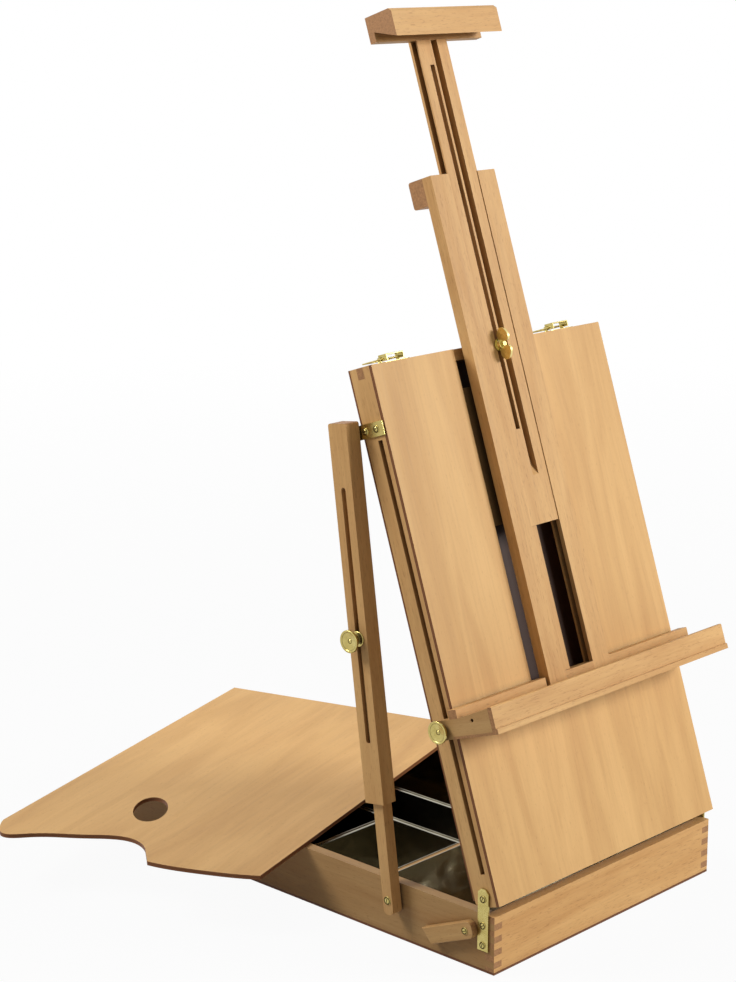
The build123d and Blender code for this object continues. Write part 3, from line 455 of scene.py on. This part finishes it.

# Share of the head's radius, height over the seat, and 1 where the brass is darker
SCREW_PROFILE = (
    (0.0, -0.004, 0),
    (0.45, -0.004, 0),
    (0.45, 0.0, 0),
    (1.0, 0.0, 0),
    (1.0, 0.0005, 0),
    (0.94, 0.0009, 1),
    (0.84, 0.0008, 1),
    (0.78, 0.0003, 1),
    (0.66, 0.0007, 1),
    (0.62, 0.0011, 0),
    (0.50, 0.0014, 0),
    (0.28, 0.0016, 0),
    (0.0, 0.0016, 0),
)
SCREW_RADIUS = 0.0042
PIVOT_RADIUS = 0.0050
# The block that cuts a slot: its length in radii, and its centre over the seat
SLOT_LENGTH = 1.5
SLOT_WIDTH = 0.0010
SLOT_HEIGHT = 0.002
SLOT_CENTRE = 0.0019


def add_object(name, data):
    """A new object in the scene."""
    obj = bpy.data.objects.new(name, data)
    bpy.context.scene.collection.objects.link(obj)
    return obj


def turn_piece(made, profile, foot, axis):
    """Adds a round piece from (radius, height, darker) points, on foot and along axis."""
    side = axis.orthogonal().normalized()
    other = axis.cross(side)
    rings = []
    for radius, height, dark in profile:
        centre = foot + axis * height
        ring = []
        for i in range(LATHE_STEPS if radius > 0 else 1):
            turn = 2 * math.pi * i / LATHE_STEPS
            out = side * math.cos(turn) + other * math.sin(turn)
            ring.append(made.verts.new(centre + out * radius))
        rings.append((ring, dark))
    for (low, dark), (high, _) in zip(rings, rings[1:]):
        for i in range(LATHE_STEPS):
            j = (i + 1) % LATHE_STEPS
            if len(low) == 1:
                face = made.faces.new((low[0], high[j], high[i]))
            elif len(high) == 1:
                face = made.faces.new((low[i], low[j], high[0]))
            else:
                face = made.faces.new((low[i], low[j], high[j], high[i]))
            face.material_index = 1 if dark else 0


def add_mesh(name, made):
    """An object from a bmesh, with darker brass as its second material."""
    bmesh.ops.recalc_face_normals(made, faces=made.faces)
    mesh = bpy.data.meshes.new(name)
    made.to_mesh(mesh)
    made.free()
    mesh.materials.append(brass)
    mesh.materials.append(dark_brass)
    return add_object(name, mesh)


def polish(obj):
    """Rounds the edges of a turned piece and shades it smooth."""
    obj.data.polygons.foreach_set("use_smooth", [True] * len(obj.data.polygons))
    edges = obj.modifiers.new("edges", "BEVEL")
    edges.width = KNOB_ROUNDING
    edges.segments = 2
    edges.limit_method = "ANGLE"
    edges.angle_limit = math.radians(50)
    obj.modifiers.new("shading", "WEIGHTED_NORMAL")


def knob_profile(neck):
    """The outline of a knob, from its flange to its dished face."""
    low = KNOB_FLANGE + neck
    high = low + KNOB_DISC
    return [
        (0.0, 0.0, 0),
        (0.009, 0.0, 0),
        (0.009, 0.0010, 0),
        (0.0084, KNOB_FLANGE, 0),
        (0.0058, 0.0019, 1),
        (0.0050, 0.0026, 1),
        (0.0050, low - 0.0004, 1),
        (0.0062, low, 1),
        (0.0124, low, 0),
        (0.0130, low + 0.0006, 0),
        (0.0130, high - 0.0006, 0),
        (0.0125, high, 0),
        (0.0110, high, 0),
        (0.0104, high - 0.0007, 1),
        (0.0100, high - 0.0009, 0),
        (0.0030, high - 0.0026, 1),
        (0.0022, high - 0.0027, 0),
        (0.0016, high - 0.0020, 0),
        (0.0, high - 0.0019, 0),
    ]


def screw_heads(node_name, body, spots):
    """Slotted screw heads in rings, from (place, axis, radius, turn of the slot)."""
    made = bmesh.new()
    cutter = bmesh.new()
    for place, axis, radius, turn in spots:
        place = Vector(place)
        profile = [(part * radius, rise, dark) for part, rise, dark in SCREW_PROFILE]
        turn_piece(made, profile, place, axis)
        slot = Matrix.Translation(place + axis * SLOT_CENTRE)
        slot @= axis.to_track_quat("Z", "Y").to_matrix().to_4x4()
        slot @= Matrix.Rotation(turn, 4, "Z")
        slot @= Matrix.Diagonal((radius * SLOT_LENGTH, SLOT_WIDTH, SLOT_HEIGHT, 1))
        bmesh.ops.create_cube(cutter, size=1, matrix=slot)
    piece = add_mesh(f"{node_name}_turned", made)
    tool = add_mesh("slots", cutter)
    for face in tool.data.polygons:
        face.material_index = 1
    cut = piece.modifiers.new("slots", "BOOLEAN")
    cut.object = tool
    cut.operation = "DIFFERENCE"
    cut.solver = "EXACT"
    bpy.context.view_layer.update()
    ready = piece.evaluated_get(bpy.context.evaluated_depsgraph_get())
    piece.data = bpy.data.meshes.new_from_object(ready)
    piece.modifiers.clear()
    bpy.data.objects.remove(tool)
    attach(piece, body)
    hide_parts(node_name)


for node_name, body, joint, neck in (
    ("shelf_knob_left", "shelf_clamp_left", "shelf_knob_left_turn", 0.0026),
    ("shelf_knob_right", "shelf_clamp_right", "shelf_knob_right_turn", 0.0026),
    ("strut_knob", "strut_clamp", "strut_knob_turn", 0.0105),
):
    low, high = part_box(node_name)
    axis = Vector(joints[joint]["axis"])
    foot = (Vector(low) + Vector(high)) / 2
    foot.x = high[0] if axis.x < 0 else low[0]
    made = bmesh.new()
    turn_piece(made, knob_profile(neck), foot, axis)
    piece = add_mesh(f"{node_name}_turned", made)
    polish(piece)
    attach(piece, body)
    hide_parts(node_name)

# Screws that turn over a plate stand clear of it; the strap's two lie on the lid's side
HINGE_Y = -0.290
HEAD_CLEARANCE = 0.0002
STRAP_THICKNESS = 0.002
STRAP_HEIGHT = 0.536
STRAP_DEPTHS = (0.013, 0.030)

low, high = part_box("hinge_plates")
left_plate, right_plate = low[0], high[0]
button_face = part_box("turn_button")[0][0]
screw_heads("box_screws", "box", [
    ((left_plate, HINGE_Y, 0.055), LEFT, SCREW_RADIUS, 0.6),
    ((left_plate, HINGE_Y, 0.032), LEFT, SCREW_RADIUS, 1.3),
    ((right_plate, HINGE_Y, 0.055), RIGHT, SCREW_RADIUS, 0.9),
    ((right_plate, HINGE_Y, 0.032), RIGHT, SCREW_RADIUS, 0.2),
    ((button_face - HEAD_CLEARANCE, -0.2708, 0.0458), LEFT, SCREW_RADIUS, 0.4),
])
strap_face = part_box("lid_left_rail")[0][0] - STRAP_THICKNESS
front, back = (LID_ORIGIN + UP * STRAP_HEIGHT - FORWARD * d for d in STRAP_DEPTHS)
screw_heads("lid_screws", "lid", [
    ((left_plate - HEAD_CLEARANCE, HINGE_Y, 0.086), LEFT, SCREW_RADIUS, 1.2),
    ((right_plate + HEAD_CLEARANCE, HINGE_Y, 0.086), RIGHT, SCREW_RADIUS, 1.2),
    ((strap_face, front.y, front.z), LEFT, SCREW_RADIUS, 0.9),
    ((strap_face, back.y, back.z), LEFT, SCREW_RADIUS, 0.3),
])
arm_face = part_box("strut_lower")[0][0]
screw_heads("strut_pivot_screw", "strut_lower_arm", [
    ((arm_face, -0.1623, 0.0513), LEFT, PIVOT_RADIUS, 1.4),
])


# Floor and surroundings: white to the camera and in reflections, and dim as light

FLOOR_GREY = 0.42
FLOOR_REACH = 14.0
FLOOR_DROP = 0.0005
# How white the floor looks, near the easel and from the far end of the fade on
FADE_START, FADE_STOP = 0.9, 3.5
NEAR_WHITE, FAR_WHITE = 0.95, 1.0
SOFT_LIGHT = 0.22


def seen_rays(tree):
    """1 for rays of the camera, of reflections and through glass, and 0 for others."""
    path = tree.nodes.new("ShaderNodeLightPath").outputs
    seen = maths(tree, "MAXIMUM", path["Is Camera Ray"], path["Is Glossy Ray"])
    return maths(tree, "MAXIMUM", seen, path["Is Transmission Ray"])


def glowing(tree, kind, strength):
    """A white light of a kind of node, for a floor or a world."""
    made = tree.nodes.new(kind)
    made.inputs["Color"].default_value = WHITE
    made.inputs["Strength"].default_value = strength
    return made.outputs[0]


def blend_shaders(tree, factor, first, second, output):
    """Sends the first shader to the output at factor 0, and the second at 1."""
    made = tree.nodes.new("ShaderNodeMixShader")
    for socket, source in zip(made.inputs, (factor, first, second)):
        tree.links.new(source, socket)
    tree.links.new(made.outputs[0], output.inputs["Surface"])


floor_mat, tree, shader = material("floor")
shader.inputs["Base Color"].default_value = (FLOOR_GREY, FLOOR_GREY, FLOOR_GREY, 1)
shader.inputs["Roughness"].default_value = 0.9
coords = tree.nodes.new("ShaderNodeTexCoord")
away = tree.nodes.new("ShaderNodeVectorMath")
away.operation = "LENGTH"
tree.links.new(coords.outputs["Object"], away.inputs[0])
fade = tree.nodes.new("ShaderNodeMapRange")
fade.inputs["From Min"].default_value = FADE_START
fade.inputs["From Max"].default_value = FADE_STOP
fade.inputs["To Min"].default_value = NEAR_WHITE
fade.inputs["To Max"].default_value = FAR_WHITE
tree.links.new(away.outputs["Value"], fade.inputs["Value"])
blend_shaders(
    tree,
    maths(tree, "MULTIPLY", seen_rays(tree), fade.outputs[0]),
    shader.outputs[0],
    glowing(tree, "ShaderNodeEmission", 1.0),
    tree.nodes["Material Output"],
)

mesh = bpy.data.meshes.new("floor")
corners = ((-1, -1), (1, -1), (1, 1), (-1, 1))
mesh.from_pydata(
    [(x * FLOOR_REACH, y * FLOOR_REACH, 0) for x, y in corners], [], [(0, 1, 2, 3)]
)
mesh.materials.append(floor_mat)
floor = add_object("floor", mesh)
floor.location.z = -FLOOR_DROP
floor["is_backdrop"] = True

world = bpy.data.worlds.new("studio")
bpy.context.scene.world = world
world.use_nodes = True
tree = world.node_tree
tree.nodes.clear()
blend_shaders(
    tree,
    seen_rays(tree),
    glowing(tree, "ShaderNodeBackground", SOFT_LIGHT),
    glowing(tree, "ShaderNodeBackground", 1.0),
    tree.nodes.new("ShaderNodeOutputWorld"),
)


# Lamps and camera


def look(obj, place, direction):
    """Puts a lamp or camera at a place, facing a direction."""
    obj.location = place
    obj.rotation_mode = "QUATERNION"
    obj.rotation_quaternion = direction.to_track_quat("-Z", "Y")


def lamp(name, place, aim, size, power):
    """A square soft light."""
    data = bpy.data.lights.new(name, "AREA")
    data.shape = "SQUARE"
    data.size = size
    data.energy = power
    look(add_object(name, data), place, Vector(aim) - Vector(place))


lamp("key", (2.0, -3.1, 2.0), (0, 0, 0.4), 1.2, 138)
lamp("fill", (-1.3, 1.0, 1.7), (0, 0, 0.6), 0.8, 30)
lamp("top", (-0.6, 1.0, 3.6), (-0.1, 0.1, 0.2), 1.8, 15)

# The camera as fitted to the photo: its place, direction and focal length in pixels
CAMERA_PLACE = (-1.97011, -1.79291, 1.10041)
CAMERA_TURN = math.radians(-46.5345)
CAMERA_RISE = math.radians(13.4967)
FOCAL_PIXELS = 2282.85
PICTURE_HEIGHT = 982
SENSOR = 36

camera = add_object("camera", bpy.data.cameras.new("camera"))
bpy.context.scene.camera = camera
back = Vector((
    math.sin(CAMERA_TURN) * math.cos(CAMERA_RISE),
    -math.cos(CAMERA_TURN) * math.cos(CAMERA_RISE),
    math.sin(CAMERA_RISE),
))
look(camera, CAMERA_PLACE, -back)
camera.data.sensor_width = SENSOR
camera.data.lens = FOCAL_PIXELS * SENSOR / PICTURE_HEIGHT
camera.data.clip_start = 0.05
camera.data.clip_end = 100

bpy.context.scene.view_settings.view_transform = "Standard"

low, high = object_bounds()
